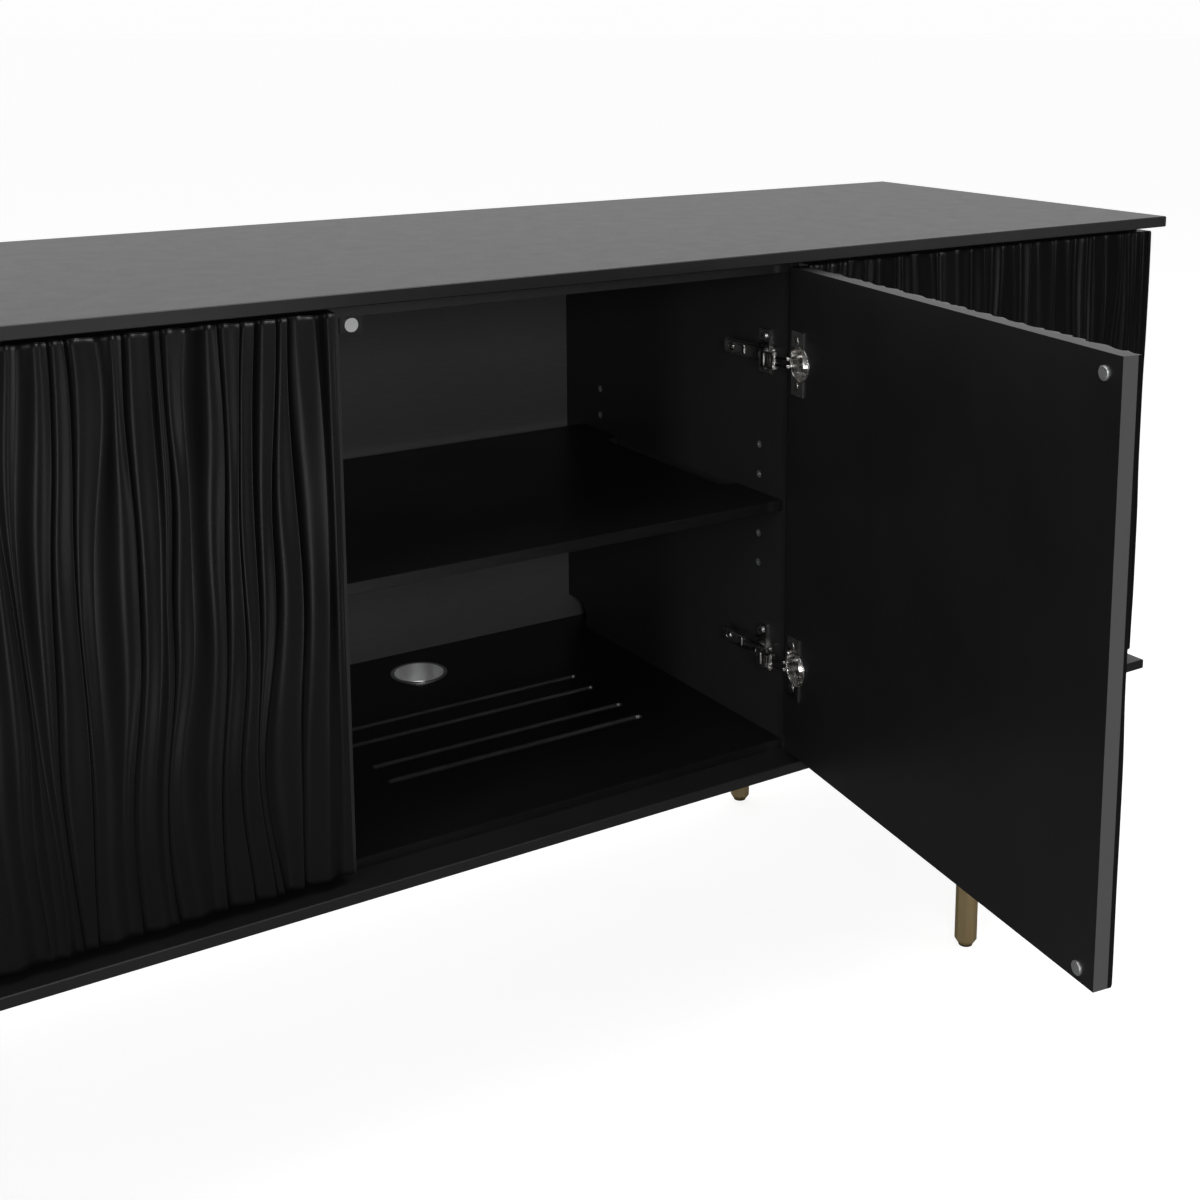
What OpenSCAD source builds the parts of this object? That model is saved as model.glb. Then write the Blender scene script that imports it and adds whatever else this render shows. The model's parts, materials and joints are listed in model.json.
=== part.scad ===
// Low media cabinet: four doored bays between two thin plates, on four brass legs.
// Millimetres, Z up, the doors face -Y. The third door from the left stands open.

/* [Case] */
// Overall width of the top and base plates
overall_width = 2012; // [1660:2:2440]
// Front-to-back depth of the top and base plates
overall_depth = 495; // [440:1:600]
// Height of the case from under the base plate to the top surface
case_height = 545; // [480:1:660]
// Height of the legs from the floor to the base plate
leg_height = 290; // [120:1:350]
// Top plate thickness
top_thick = 12; // [10:0.5:18]
// Base plate thickness
base_thick = 11; // [10:0.5:18]
// Width of the bevel along the plates' edges
arris = 0.85; // [0.5:0.05:1.5]
// Side panel and divider thickness
panel_thick = 19; // [18:0.1:23]
// Inset of the side panels from the plate ends
side_inset = 8; // [6:0.5:12]
// Distance from the plate's front edge back to the carcass front
carcass_setback = 35; // [33:0.5:45]
// How far the sub-top and floor edges sit behind the carcass front
lip_setback = 3; // [0:0.5:8]
// Panel under the top plate
sub_top_thick = 15; // [12:0.5:20]
// Floor panel over the base plate
floor_thick = 10; // [9:0.5:14]
// Back panel thickness
back_thick = 6; // [4:0.5:9]
// Distance from the plate's rear edge to the back panel's rear face
back_inset = 8; // [4:0.5:14]
// Diameter of the screws that hold the back panel
back_screw_dia = 3; // [2.5:0.1:4]
// How deep those screws go into a divider
back_screw_deep = 15; // [10:1:25]

/* [Doors] */
// Thickness of the flat inner board of a door
board_thick = 14; // [13.5:0.1:17]
// Thickness of the carved front of a door
face_thick = 6; // [4:0.5:8]
// Gap between neighbouring doors
door_gap = 3; // [2.5:0.5:5]
// Gap from the last door's edge to the plate end
end_reveal = 7; // [5:0.5:10]
// Gap above a door
reveal_top = 6; // [4:0.5:10]
// Gap below a door
reveal_bottom = 9.5; // [6:0.5:12]
// Clearance between a closed door and the carcass
door_air = 2; // [1.5:0.5:3]
// How far the third door stands open, degrees
open_angle = 81.6; // [30:0.1:100]
// Distance of the hinges from a door's top and bottom edges
hinge_inset = 95; // [80:1:130]
// Distance of the strikes from a door's free edge
strike_inset = 20; // [18:0.5:21.5]
// Strike diameter
strike_dia = 12; // [9:0.5:13]
// Height of the lower strike above a door's bottom edge
strike_low = 10.5; // [8:0.5:20]

/* [Hinges] */
// Cup diameter
cup_dia = 35; // [35:0.1:35.4]
// Cup centre from the door's edge
cup_centre = 22.5; // [22.5:0.5:24]
// Cup depth
cup_deep = 12.3; // [12.2:0.1:12.5]
// Cup wall
cup_wall = 0.8; // [0.6:0.1:1]
// Flange height on the door
flange_high = 65; // [60:1:70]
// Flange width
flange_wide = 23; // [21:0.5:26]
// Flange edge from the door's edge
flange_edge = 6; // [4:0.5:8]
// Flange thickness
flange_thick = 1.4; // [1:0.1:2]
// Flange screws from the door's edge
flange_screw_x = 15.5; // [13:0.5:17]
// Distance between the two flange screws
flange_screw_gap = 45; // [44:0.5:50]
// Flange screw diameter
flange_screw_dia = 3.5; // [3:0.1:4]
// Height of the mounting plate wings
wing_high = 46; // [44:1:52]
// Width of the mounting plate wings
wing_wide = 18; // [14:0.5:20]
// Thickness of the mounting plate wings
wing_thick = 2.5; // [2:0.1:3]
// Height of the mounting plate's spine above the panel
spine_high = 5; // [4:0.1:5.1]
// Mounting plate screws behind the carcass front
plate_mid = 37; // [36:0.5:38]
// Distance between the mounting plate's two screws
plate_screw_gap = 32; // [28:0.5:32]
// Mounting plate screw diameter
plate_screw_dia = 5; // [4:0.1:6]
// Link pivot from the door's edge
link_pivot_x = 31.5; // [31:0.5:32]
// Link pivot in front of the closed door's inner face
link_deep = 7.5; // [7.2:0.1:7.6]
// Turning axis from the door's edge
turn_x = 0.5; // [0.3:0.1:0.6]
// Turning axis in front of the closed door's inner face
turn_deep = 19.5; // [19.4:0.1:19.8]
// Link length between its pivot and its tip
link_long = 16; // [15:0.5:17]
// Turn of the link for each degree of the door
link_ratio = 0.9; // [0.88:0.01:0.92]

/* [Shelves] */
// Shelf thickness
shelf_thick = 11; // [10:0.5:16]
// Height of the shelf's top surface above the floor panel
shelf_rise = 259.5; // [210:0.5:290]
// Shelf front edge behind the carcass front
shelf_setback = 5; // [3:0.5:20]
// Gap between the shelf's rear edge and the back panel
shelf_rear_gap = 40; // [30:1:60]
// Clearance at each end of a shelf
shelf_air = 1; // [0.5:0.1:2]
// Depth of the cable notch in a shelf's end
shelf_notch = 18; // [16:0.5:24]
// Corner radius of a shelf's cable notch
notch_round = 8; // [4:0.5:8]
// Start of a shelf's cable notch behind the front pins
notch_front = 38; // [20:1:60]
// End of a shelf's cable notch in front of the rear pins
notch_rear = 42; // [20:1:60]
// Pitch of the shelf holes
pin_pitch = 32; // [28:1:40]
// Front row of shelf holes behind the carcass front
pin_front = 46.5; // [40:0.5:60]
// Distance between the front and rear rows of shelf holes
pin_rows = 320; // [280:1:330]
// Shelf pin diameter
pin_dia = 5; // [4.5:0.1:6]
// How far a shelf pin stands out of its panel
pin_out = 9; // [6:0.5:12]
// Wall of a socket sleeve, with its clearances
socket_wall = 1.5; // [1.2:0.1:2]
// Socket depth
socket_deep = 8.5; // [7:0.5:8.8]

/* [Cables and vents] */
// Cable hole diameter in the floor
cable_dia = 60; // [50:1:64]
// Liner wall of the cable hole
liner_wall = 1.5; // [1:0.1:2.5]
// Width of the liner's rim on the floor panel
liner_rim = 2.6; // [1.5:0.1:5]
// Cable hole centre from the rear edge of the plates
cable_inset = 82; // [76:1:90]
// Vent slot length
slot_long = 300; // [240:1:310]
// Vent slot width
slot_wide = 11; // [8:0.5:12]
// Centre of the first vent slot behind the plate's front edge
slot_first = 169; // [150:1:175]
// Distance between the two slots of a pair
slot_pair = 39; // [32:1:44]
// Distance between the two pairs of slots
slot_step = 98; // [90:1:102]
// Height of the cable notch at a divider's rear foot
foot_notch_high = 30; // [20:1:40]
// Depth of the cable notch at a divider's rear foot
foot_notch_deep = 42; // [30:1:50]
// Corner radius of that notch
foot_notch_round = 14; // [6:1:18]

/* [Latches] */
// Latch housing width
latch_wide = 22; // [20:0.5:24]
// Latch housing height
latch_high = 14; // [14:0.5:16]
// Latch housing length
latch_long = 58; // [45:1:70]
// Plunger disc diameter
plunger_dia = 12.4; // [11:0.1:13]
// Plunger stem diameter
stem_dia = 6; // [5:0.1:7]
// Plunger travel
plunger_travel = 3.5; // [3:0.1:4]

/* [Legs] */
// Leg width across corners
leg_dia = 25.5; // [20:0.5:30]
// Leg centre from the front and rear plate edges
leg_inset = 24; // [22:0.5:40]
// Leg centre from the plate end
leg_side = 253; // [120:1:280]
// Rim of the leg plate around its leg
leg_plate_rim = 8.25; // [7:0.25:9]
// Leg plate thickness
leg_plate_thick = 3; // [2:0.5:4]
// Head diameter of the leg plate's screws
leg_screw_head = 5.2; // [4.6:0.1:5.6]
// Screw diameter
leg_screw_dia = 3.5; // [3:0.1:4]
// Diameter of the threaded stud on a leg
stud_dia = 8; // [6:0.5:10]
// Glide pad thickness under a leg
glide_thick = 2; // [1.5:0.5:3]
// How much narrower a leg's foot is than the leg
foot_taper = 7; // [2:0.5:9]

/* [Hidden] */
$fn = 48;
base_top = leg_height + base_thick;
case_top = leg_height + case_height;
plate_under = case_top - top_thick;
floor_top = base_top + floor_thick;
half_width = overall_width / 2;
pitch = (overall_width - 2 * end_reveal + door_gap) / 4;
door_wide = pitch - door_gap;
door_low = base_top + reveal_bottom;
door_high = plate_under - reveal_top - door_low;
inner_y = carcass_setback - door_air;
door_thick = board_thick + face_thick;
front_y = inner_y - door_thick;
side_out = half_width - side_inset;
side_in = side_out - panel_thick;
back_y = overall_depth - back_inset - back_thick;
lip_y = carcass_setback + lip_setback;
shelf_z = floor_top + shelf_rise;
shelf_y = carcass_setback + shelf_setback;
shelf_end = back_y - shelf_rear_gap;
pin_z = shelf_z - shelf_thick - pin_dia / 2;
socket_dia = pin_dia + 2 * socket_wall;
pin_y1 = carcass_setback + pin_front;
pin_y2 = pin_y1 + pin_rows;
cable_y = overall_depth - cable_inset;
// Each door's outer edge, where its hinges are: the inner pair, then the outer pair
edge_in = pitch - door_gap / 2;
edge_out = half_width - end_reveal;
face_in = pitch - panel_thick / 2;
turn_y = inner_y - turn_deep;
link_y = inner_y - link_deep;
hinge_z1 = door_low + hinge_inset;
hinge_z2 = door_low + door_high - hinge_inset;
latch_z = plate_under - sub_top_thick - latch_high / 2;
strike_z1 = door_low + strike_low;
strike_z2 = latch_z;
hinge_mid = carcass_setback + plate_mid;
leg_plate_dia = leg_dia + 2 * leg_plate_rim;
leg_screw_r = leg_dia / 2 + leg_screw_head / 2 + 0.15;
liner_out = cable_dia - 0.2;
liner_in = liner_out - 2 * liner_wall;
cup_out = cup_dia - 0.2;
// The open door reaches forward, so the whole part is moved to centre its bounding box
swing = 90 - open_angle;
reach_out = turn_y - (door_wide - turn_x) * sin(open_angle) - (turn_y - front_y) * cos(open_angle);
shift_y = -(overall_depth + reach_out) / 2;

// Half of the cabinet that a door is in: doors 1 and 2 mirror doors 4 and 3
module on_side(k) {
    if (k <= 2)
        mirror([1, 0, 0]) children();
    else
        children();
}

// Where bay k's inner and outer clear faces are, on the right half
function is_outer(k) = k == 1 || k == 4;
function bay_low(k) = is_outer(k) ? pitch + panel_thick / 2 : panel_thick / 2;
function bay_high(k) = is_outer(k) ? side_in : face_in;
function edge_x(k) = is_outer(k) ? edge_out : edge_in;
function mount_x(k) = is_outer(k) ? side_in : face_in;

module box(x1, x2, y1, y2, z1, z2) {
    translate([x1, y1, z1]) cube([x2 - x1, y2 - y1, z2 - z1]);
}

module placed() {
    translate([0, shift_y, 0]) children();
}

// A closed door of bay k, moved to its rest pose
module door_pose(k) {
    if (k == 3)
        translate([edge_x(k) - turn_x, turn_y, 0])
            rotate([0, 0, open_angle])
                translate([-(edge_x(k) - turn_x), -turn_y, 0])
                    children();
    else
        children();
}

// A link in its closed place, turned back as the door opens
module link_pose(k) {
    if (k == 3)
        translate([edge_x(k) - link_pivot_x, link_y, 0])
            rotate([0, 0, -link_ratio * open_angle])
                translate([-(edge_x(k) - link_pivot_x), -link_y, 0])
                    children();
    else
        children();
}

module hinge_levels() {
    translate([0, 0, hinge_z1]) children();
    translate([0, 0, hinge_z2]) children();
}

module leg_spots() {
    for (sx = [-1, 1])
        for (y = [leg_inset, overall_depth - leg_inset])
            translate([sx * (half_width - leg_side), y, 0]) children();
}

module bay_centres() {
    for (k = [0 : 3])
        translate([(k - 1.5) * pitch, 0, 0]) children();
}

module leg_screw_spots() {
    for (a = [0 : 90 : 270])
        rotate([0, 0, a + 45]) translate([leg_screw_r, 0, 0]) children();
}

// ---- plates ----

module plate(z, t) {
    b = arris * sqrt(2);
    translate([0, 0, z])
        difference() {
            box(-half_width, half_width, 0, overall_depth, 0, t);
            // Softened front and end arrises
            for (e = [0, t])
                translate([0, 0, e]) {
                    rotate([45, 0, 0]) cube([overall_width + 10, b, b], center = true);
                    for (sx = [-1, 1])
                        translate([sx * half_width, overall_depth / 2, 0])
                            rotate([0, 45, 0])
                                cube([b, overall_depth + 10, b], center = true);
                }
        }
}

module top_plate() {
    placed() color("#17181a") plate(plate_under, top_thick);
}

module base_plate() {
    placed() color("#17181a")
        difference() {
            plate(leg_height, base_thick);
            bay_centres() translate([0, cable_y, leg_height - 1])
                cylinder(d = cable_dia, h = base_thick + 2);
            leg_spots() {
                translate([0, 0, leg_height - 1]) cylinder(d = stud_dia + 0.2, h = 9);
                leg_screw_spots()
                    translate([0, 0, leg_height - 1]) cylinder(d = leg_screw_dia + 0.1, h = 9);
            }
        }
}

// ---- carcass ----

module socket_bores(x, dir) {
    for (y = [pin_y1, pin_y2])
        for (i = [-2 : 2])
            translate([x, y, pin_z + i * pin_pitch])
                rotate([0, dir * 90, 0])
                    translate([0, 0, -0.01]) cylinder(d = socket_dia, h = socket_deep + 0.01, $fn = 24);
}

module plate_screw_bores(x, dir) {
    hinge_levels()
        for (sz = [-0.5, 0.5])
            translate([x, hinge_mid, sz * plate_screw_gap])
                rotate([0, dir * 90, 0])
                    translate([0, 0, -0.01]) cylinder(d = plate_screw_dia + 0.1, h = 8.01, $fn = 24);
}

module back_screw_spots(x) {
    for (z = [floor_top + 60, (floor_top + plate_under) / 2, plate_under - 30])
        translate([x, back_y, z]) rotate([90, 0, 0]) children();
}

module divider(x, hinged) {
    difference() {
        box(x - panel_thick / 2, x + panel_thick / 2, carcass_setback, back_y, base_top, plate_under);
        // Cable way at the rear foot, with a rounded upper corner
        translate([x - panel_thick, back_y - foot_notch_deep, floor_top]) {
            r = foot_notch_round;
            cube([panel_thick * 2, foot_notch_deep + 1, foot_notch_high - r]);
            translate([0, r, 0])
                cube([panel_thick * 2, foot_notch_deep - r + 1, foot_notch_high]);
            translate([0, r, foot_notch_high - r])
                rotate([0, 90, 0]) cylinder(r = r, h = panel_thick * 2);
        }
        socket_bores(x - panel_thick / 2, 1);
        socket_bores(x + panel_thick / 2, -1);
        if (hinged < 0)
            plate_screw_bores(x + panel_thick / 2, -1);
        if (hinged > 0)
            plate_screw_bores(x - panel_thick / 2, 1);
        back_screw_spots(x)
            translate([0, 0, -0.01])
                cylinder(d = back_screw_dia + 0.1, h = back_screw_deep + 1.01, $fn = 24);
    }
}

module divider_left() { placed() color("#131416") divider(-pitch, -1); }

module divider_centre() { placed() color("#131416") divider(0, 0); }

module divider_right() { placed() color("#131416") divider(pitch, 1); }

module side_panel() {
    difference() {
        box(side_in, side_out, carcass_setback, back_y + back_thick, base_top, plate_under);
        socket_bores(side_in, 1);
        plate_screw_bores(side_in, 1);
    }
}

module side_panel_left() { placed() color("#131416") mirror([1, 0, 0]) side_panel(); }

module side_panel_right() { placed() color("#131416") side_panel(); }

module sub_top(k) {
    placed() color("#131416")
        on_side(k)
            box(bay_low(k), bay_high(k), lip_y, back_y, plate_under - sub_top_thick, plate_under);
}

module sub_top_1() { sub_top(1); }

module sub_top_2() { sub_top(2); }

module sub_top_3() { sub_top(3); }

module sub_top_4() { sub_top(4); }

module vent_slot(y) {
    hull()
        for (dx = [-1, 1])
            translate([dx * (slot_long - slot_wide) / 2, y, base_top - 1])
                cylinder(d = slot_wide, h = floor_thick + 2, $fn = 24);
}

module floor_panel(k) {
    placed() color("#131416")
        difference() {
            on_side(k)
                box(bay_low(k), bay_high(k), lip_y, back_y, base_top, floor_top);
            translate([(k - 2.5) * pitch, 0, 0]) {
                translate([0, cable_y, base_top - 1]) cylinder(d = cable_dia, h = floor_thick + 2);
                for (y = [0, slot_pair, slot_step, slot_step + slot_pair])
                    vent_slot(slot_first + y);
            }
        }
}

module floor_panel_1() { floor_panel(1); }

module floor_panel_2() { floor_panel(2); }

module floor_panel_3() { floor_panel(3); }

module floor_panel_4() { floor_panel(4); }

module cable_liners() {
    placed() color("#b9bcc0")
        bay_centres() translate([0, cable_y, leg_height])
            difference() {
                union() {
                    cylinder(d = liner_out, h = base_thick + floor_thick);
                    translate([0, 0, base_thick + floor_thick])
                        cylinder(d = liner_out + 2 * liner_rim, h = 1);
                }
                translate([0, 0, -1])
                    cylinder(d = liner_in, h = base_thick + floor_thick + 4);
            }
}

module back_panel() {
    placed() color("#101113")
        difference() {
            box(-side_in, side_in, back_y, back_y + back_thick, base_top, plate_under);
            for (x = [-pitch, 0, pitch])
                back_screw_spots(x)
                    translate([0, 0, -back_thick - 1])
                        cylinder(d = back_screw_dia + 0.6, h = back_thick + 2, $fn = 24);
        }
}

module back_screws() {
    placed() color("#8d9096")
        for (x = [-pitch, 0, pitch])
            back_screw_spots(x) {
                translate([0, 0, -back_thick - 1.6])
                    cylinder(d = 2.5 * back_screw_dia, h = 1.6, $fn = 24);
                translate([0, 0, -back_thick - 0.5])
                    cylinder(d = back_screw_dia, h = back_thick + 0.5 + back_screw_deep, $fn = 24);
            }
}

// ---- shelves ----

module shelf(k) {
    x1 = bay_low(k) + shelf_air;
    x2 = bay_high(k) - shelf_air;
    n1 = pin_y1 + notch_front;
    n2 = pin_y2 - notch_rear;
    r = notch_round;
    placed() color("#131416")
        on_side(k)
            difference() {
                box(x1, x2, shelf_y, shelf_end, shelf_z - shelf_thick, shelf_z);
                // Cable notches in both ends, with curved steps
                for (e = [0, 1]) {
                    xe = e == 0 ? x1 : x2;
                    translate([xe, 0, shelf_z - shelf_thick - 1])
                        linear_extrude(height = shelf_thick + 2)
                            union() {
                                translate([-shelf_notch + r, n1])
                                    square([2 * (shelf_notch - r), n2 - n1]);
                                translate([-shelf_notch, n1 + r])
                                    square([2 * shelf_notch, n2 - n1 - 2 * r]);
                                for (sx = [-1, 1])
                                    for (y = [n1 + r, n2 - r])
                                        translate([sx * (shelf_notch - r), y]) circle(r = r, $fn = 32);
                            }
                }
            }
}

module shelf_1() { shelf(1); }

module shelf_2() { shelf(2); }

module shelf_3() { shelf(3); }

module shelf_4() { shelf(4); }

module socket(x, dir, y, z) {
    translate([x, y, z])
        rotate([0, dir * 90, 0])
            difference() {
                cylinder(d = socket_dia - 0.1, h = socket_deep - 0.1, $fn = 24);
                translate([0, 0, -1]) cylinder(d = pin_dia + 0.2, h = socket_deep - 0.1, $fn = 24);
            }
}

module shelf_sockets() {
    placed() color("#a9adb3")
        for (k = [1 : 4])
            on_side(k)
                for (y = [pin_y1, pin_y2])
                    for (i = [-2 : 2]) {
                        socket(bay_low(k), -1, y, pin_z + i * pin_pitch);
                        socket(bay_high(k), 1, y, pin_z + i * pin_pitch);
                    }
}

module pin(x, dir, y) {
    translate([x, y, pin_z])
        rotate([0, dir * 90, 0]) {
            translate([0, 0, -pin_out]) cylinder(d = pin_dia, h = pin_out + socket_deep - 1.5, $fn = 24);
        }
}

module shelf_pins() {
    placed() color("#a9adb3")
        for (k = [1 : 4])
            on_side(k)
                for (y = [pin_y1, pin_y2]) {
                    pin(bay_low(k), -1, y);
                    pin(bay_high(k), 1, y);
                }
}

// ---- legs ----

module leg() {
    placed() color("#b08a4a")
        leg_body();
}

module leg_body() {
    translate([0, 0, glide_thick]) {
        cylinder(d1 = leg_dia - foot_taper, d2 = leg_dia, h = 5, $fn = 8);
        translate([0, 0, 5])
            cylinder(d = leg_dia, h = leg_height - leg_plate_thick - glide_thick - 5, $fn = 8);
    }
    translate([0, 0, leg_height - leg_plate_thick - 1]) cylinder(d = stud_dia, h = leg_plate_thick + 8);
}

module leg_at(sx, y) {
    translate([sx * (half_width - leg_side), y, 0]) leg();
}

module leg_front_left() { leg_at(-1, leg_inset); }

module leg_front_right() { leg_at(1, leg_inset); }

module leg_rear_left() { leg_at(-1, overall_depth - leg_inset); }

module leg_rear_right() { leg_at(1, overall_depth - leg_inset); }

module leg_plates() {
    placed() color("#3a3b3d")
        leg_spots()
            translate([0, 0, leg_height - leg_plate_thick])
                difference() {
                    cylinder(d = leg_plate_dia, h = leg_plate_thick);
                    translate([0, 0, -1]) cylinder(d = stud_dia + 0.2, h = leg_plate_thick + 2);
                    leg_screw_spots() translate([0, 0, -1])
                        cylinder(d = leg_screw_dia + 0.7, h = leg_plate_thick + 2, $fn = 24);
                }
}

module leg_screws() {
    placed() color("#8d9096")
        leg_spots()
            leg_screw_spots()
                translate([0, 0, leg_height - leg_plate_thick]) {
                    translate([0, 0, -1.2]) cylinder(d = leg_screw_head, h = 1.2, $fn = 24);
                    translate([0, 0, -0.5]) cylinder(d = leg_screw_dia, h = leg_plate_thick + 8, $fn = 24);
                }
}

module leg_glides() {
    placed() color("#1c1c1c")
        leg_spots() cylinder(d = leg_dia - foot_taper - 2.5, h = glide_thick);
}

// ---- doors ----

module door_box(k, y1, y2) {
    box(edge_x(k) - door_wide, edge_x(k), y1, y2, door_low, door_low + door_high);
}

module door_board(k) {
    placed() color("#17181a")
        on_side(k)
            door_pose(k)
                difference() {
                    door_box(k, front_y + face_thick, inner_y);
                    hinge_levels()
                        translate([edge_x(k) - cup_centre, inner_y + 0.01, 0])
                            rotate([90, 0, 0]) cylinder(d = cup_dia, h = cup_deep + 0.21);
                    hinge_levels()
                        for (sz = [-0.5, 0.5])
                            translate([edge_x(k) - flange_screw_x, inner_y + 0.01, sz * flange_screw_gap])
                                rotate([90, 0, 0])
                                    cylinder(d = flange_screw_dia + 0.1, h = 9.01, $fn = 24);
                }
}

module door_board_1() { door_board(1); }

module door_board_2() { door_board(2); }

module door_board_3() { door_board(3); }

module door_board_4() { door_board(4); }

module door_face(k) {
    placed() color("#0f1011")
        on_side(k)
            door_pose(k) door_box(k, front_y, front_y + face_thick);
}

module door_face_1() { door_face(1); }

module door_face_2() { door_face(2); }

module door_face_3() { door_face(3); }

module door_face_4() { door_face(4); }

module strikes(k) {
    placed() color("#c9ccd0")
        on_side(k)
            door_pose(k)
                for (z = [strike_z1, strike_z2])
                    translate([edge_x(k) - door_wide + strike_inset, inner_y, z])
                        rotate([-90, 0, 0]) {
                            cylinder(d = strike_dia, h = 1.2);
                            cylinder(d = strike_dia - 2, h = 1.7);
                        }
}

module strikes_1() { strikes(1); }

module strikes_2() { strikes(2); }

module strikes_3() { strikes(3); }

module strikes_4() { strikes(4); }

// ---- hinges ----

module hinge_cups(k) {
    xc = edge_x(k) - cup_centre;
    placed() color("#b9bcc0")
        on_side(k)
            door_pose(k)
                hinge_levels() {
                    difference() {
                        union() {
                            translate([xc, inner_y, 0])
                                rotate([90, 0, 0]) cylinder(d = cup_out, h = cup_deep);
                            translate([edge_x(k) - flange_edge - flange_wide, inner_y, -flange_high / 2])
                                cube([flange_wide, flange_thick, flange_high]);
                        }
                        translate([xc, inner_y + 2, 0])
                            rotate([90, 0, 0])
                                cylinder(d = cup_out - 2 * cup_wall, h = cup_deep + 2 - cup_wall);
                    }
                    // Flange screws
                    for (sz = [-0.5, 0.5])
                        translate([edge_x(k) - flange_screw_x, inner_y + flange_thick,
                                   sz * flange_screw_gap])
                            rotate([90, 0, 0]) {
                                translate([0, 0, -0.5])
                                    cylinder(d = 2 * flange_screw_dia, h = 1, $fn = 24);
                                cylinder(d = flange_screw_dia, h = flange_thick + 8.6, $fn = 24);
                            }
                }
}

module hinge_cups_1() { hinge_cups(1); }

module hinge_cups_2() { hinge_cups(2); }

module hinge_cups_3() { hinge_cups(3); }

module hinge_cups_4() { hinge_cups(4); }

module hinge_links(k) {
    px = edge_x(k) - link_pivot_x;
    placed() color("#c9ccd0")
        on_side(k)
            link_pose(k)
                hinge_levels()
                    for (dz = [-5.2, 2.2])
                        translate([px, link_y, dz])
                            difference() {
                                union() {
                                    cylinder(r = 2.1, h = 3, $fn = 32);
                                    translate([0, -1.6, 0]) cube([link_long, 3.2, 3]);
                                    translate([link_long, 0, 0]) cylinder(r = 2.1, h = 3, $fn = 32);
                                }
                                translate([0, 0, -1]) cylinder(r = 1.05, h = 5, $fn = 32);
                            }
}

module hinge_links_1() { hinge_links(1); }

module hinge_links_2() { hinge_links(2); }

module hinge_links_3() { hinge_links(3); }

module hinge_links_4() { hinge_links(4); }

module hinge_plate(k) {
    x = mount_x(k);
    difference() {
        union() {
            // Wings and raised spine
            box(x - wing_thick, x, hinge_mid - wing_wide / 2, hinge_mid + wing_wide / 2,
                -wing_high / 2, wing_high / 2);
            box(x - spine_high, x, hinge_mid - 22, hinge_mid + 34, -6, 6);
        }
        for (sz = [-0.5, 0.5])
            translate([x + 1, hinge_mid, sz * plate_screw_gap])
                rotate([0, -90, 0]) cylinder(d = plate_screw_dia + 0.2, h = wing_thick + 4, $fn = 24);
    }
}

module hinge_plates() {
    placed() color("#b9bcc0")
        for (k = [1 : 4])
            on_side(k) hinge_levels() hinge_plate(k);
}

module hinge_plate_screws() {
    placed() color("#8d9096")
        for (k = [1 : 4])
            on_side(k)
                hinge_levels()
                    for (sz = [-0.5, 0.5])
                        translate([mount_x(k) - wing_thick, hinge_mid, sz * plate_screw_gap])
                            rotate([0, 90, 0]) {
                                translate([0, 0, -2])
                                    cylinder(d = plate_screw_dia + 3.4, h = 2, $fn = 24);
                                translate([0, 0, -0.5])
                                    cylinder(d = plate_screw_dia, h = wing_thick + 8, $fn = 24);
                            }
}

// The arm clips over the plate's spine and its nose holds the link pin
module hinge_arm(k) {
    x = mount_x(k);
    px = edge_x(k) - link_pivot_x;
    xo = px - 4;
    difference() {
        union() {
            // Channel: web and two cheeks
            box(x - 14, x - 12, hinge_mid - 26, hinge_mid + 52, -7.5, 7.5);
            box(x - 14, x - spine_high - 0.2, hinge_mid - 26, hinge_mid + 30, -7.5, -6.2);
            box(x - 14, x - spine_high - 0.2, hinge_mid - 26, hinge_mid + 30, 6.2, 7.5);
            // Clip block that bears on the spine
            box(x - 12.5, x - spine_high, hinge_mid + 8, hinge_mid + 24, -5, 5);
            // Cranked elbow towards the door
            box(min(xo, x - 14), max(px + 4, x - 12), hinge_mid - 32, hinge_mid - 25, -8.5, 8.5);
            // Nose: two cheeks with the pin between them
            box(xo, px + 4, link_y - 1.4, hinge_mid - 31, -8.5, -6);
            box(xo, px + 4, link_y - 1.4, hinge_mid - 31, 6, 8.5);
        }
        translate([px, link_y, -10]) cylinder(r = 1.05, h = 20, $fn = 32);
    }
    translate([px, link_y, -8.5]) cylinder(r = 1, h = 17, $fn = 32);
    // Side and depth adjusting screws
    translate([x - 15.2, hinge_mid - 12, 0]) rotate([0, 90, 0]) cylinder(d = 5.5, h = 3, $fn = 24);
    translate([x - 15.2, hinge_mid + 40, 0]) rotate([0, 90, 0]) cylinder(d = 6, h = 3, $fn = 24);
}

module hinge_arms() {
    placed() color("#c9ccd0")
        for (k = [1 : 4])
            on_side(k) hinge_levels() hinge_arm(k);
}

// ---- latches ----

// A latch stands over each door's free edge, under the sub-top
module latch_x(k) {
    translate([edge_x(k) - door_wide + strike_inset, 0, latch_z]) children();
}

module latch_housings() {
    placed() color("#101113")
        for (k = [1 : 4])
            on_side(k)
                latch_x(k)
                    difference() {
                        box(-latch_wide / 2 + 1, latch_wide / 2, lip_y, lip_y + latch_long,
                            -latch_high / 2, latch_high / 2);
                        // Disc recess and stem bore
                        translate([0, lip_y - 1, 0])
                            rotate([-90, 0, 0]) cylinder(d = plunger_dia + 0.3, h = plunger_travel + 2.5);
                        translate([0, lip_y, 0])
                            rotate([-90, 0, 0]) cylinder(d = stem_dia + 0.2, h = latch_long - 8, $fn = 32);
                    }
}

module plunger(k) {
    placed() color("#c9ccd0")
        on_side(k)
            latch_x(k)
                translate([0, carcass_setback + 0.4, 0])
                    rotate([-90, 0, 0]) {
                        cylinder(d = plunger_dia, h = 3);
                        translate([0, 0, 2.5]) cylinder(d = stem_dia, h = 36, $fn = 32);
                    }
}

module plunger_1() { plunger(1); }

module plunger_2() { plunger(2); }

module plunger_3() { plunger(3); }

module plunger_4() { plunger(4); }

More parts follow.
